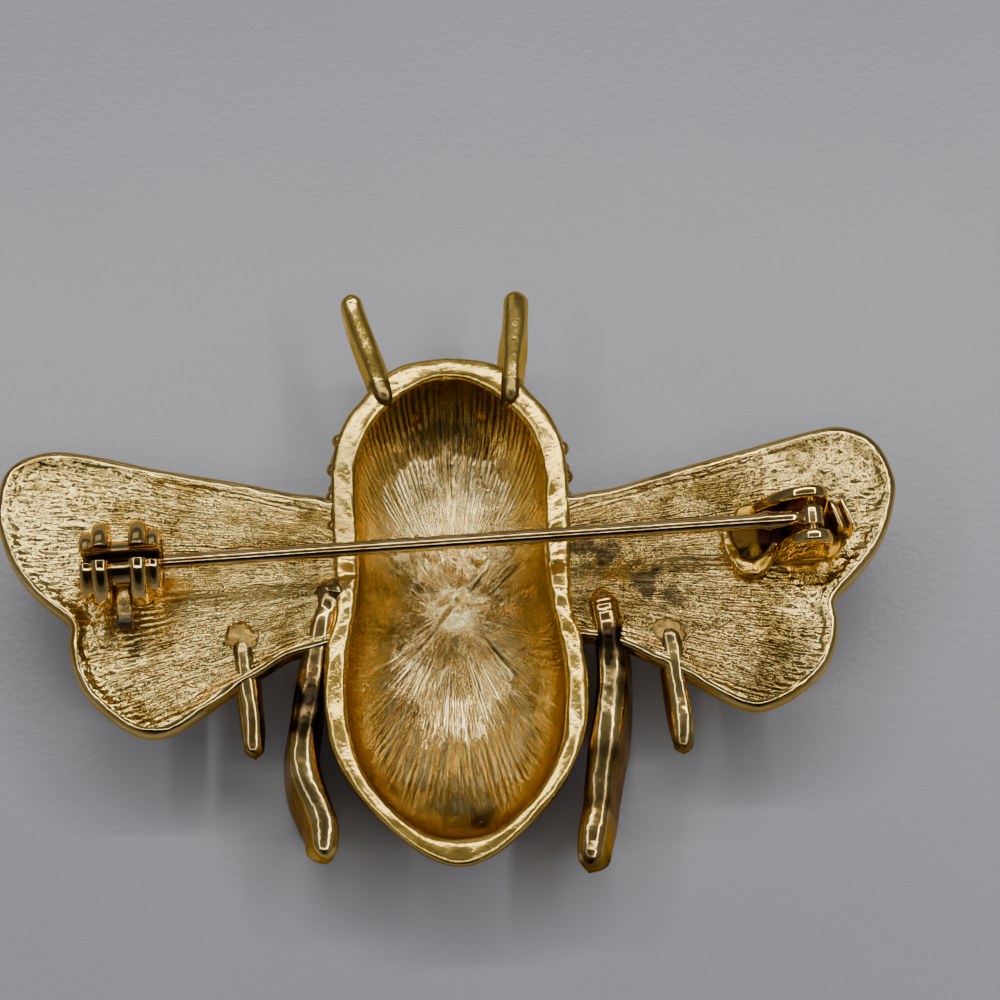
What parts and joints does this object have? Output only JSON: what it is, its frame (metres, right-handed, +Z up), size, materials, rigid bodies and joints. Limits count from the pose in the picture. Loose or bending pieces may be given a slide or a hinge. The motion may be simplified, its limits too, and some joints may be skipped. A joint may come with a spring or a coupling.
{
  "type": "insect brooch",
  "caption": "Bee brooch lying face down, a hollow cast body with wings, antennae and legs, a hinged pin stem and a roll-over safety catch on its back.",
  "frame": {"origin": "on the surface under the brooch, at the middle of its width and length", "axes": "+X to the wing with the pin joint, +Y to the head, +Z up, out of the back"},
  "size_m": [0.052, 0.035, 0.0128],
  "materials": {
    "casting": "polished gold plate on a white metal casting, brushed inside the hollow",
    "finding": "polished gold plate",
    "wire": "drawn wire, gold plated"
  },
  "bodies": {
    "root": {"casting": "casting", "joint_plate": "finding", "joint_rivet": "wire", "catch_housing": "finding"},
    "stem": {"pin_stem": "wire"},
    "roller": {"catch_roller": "wire"}
  },
  "joints": [
    {"name": "pin_hinge", "type": "hinge", "parent": "root", "child": "stem", "pos_m": [0.02071, 0.00168, 0.0103], "axis": [-0.0384, 0.9993, 0], "range_deg": [0, 80]},
    {"name": "catch_roll", "type": "hinge", "parent": "root", "child": "roller", "pos_m": [-0.01881, 0.00016, 0.0103], "axis": [-0.9993, -0.0384, 0], "range_deg": [0, 110]}
  ]
}
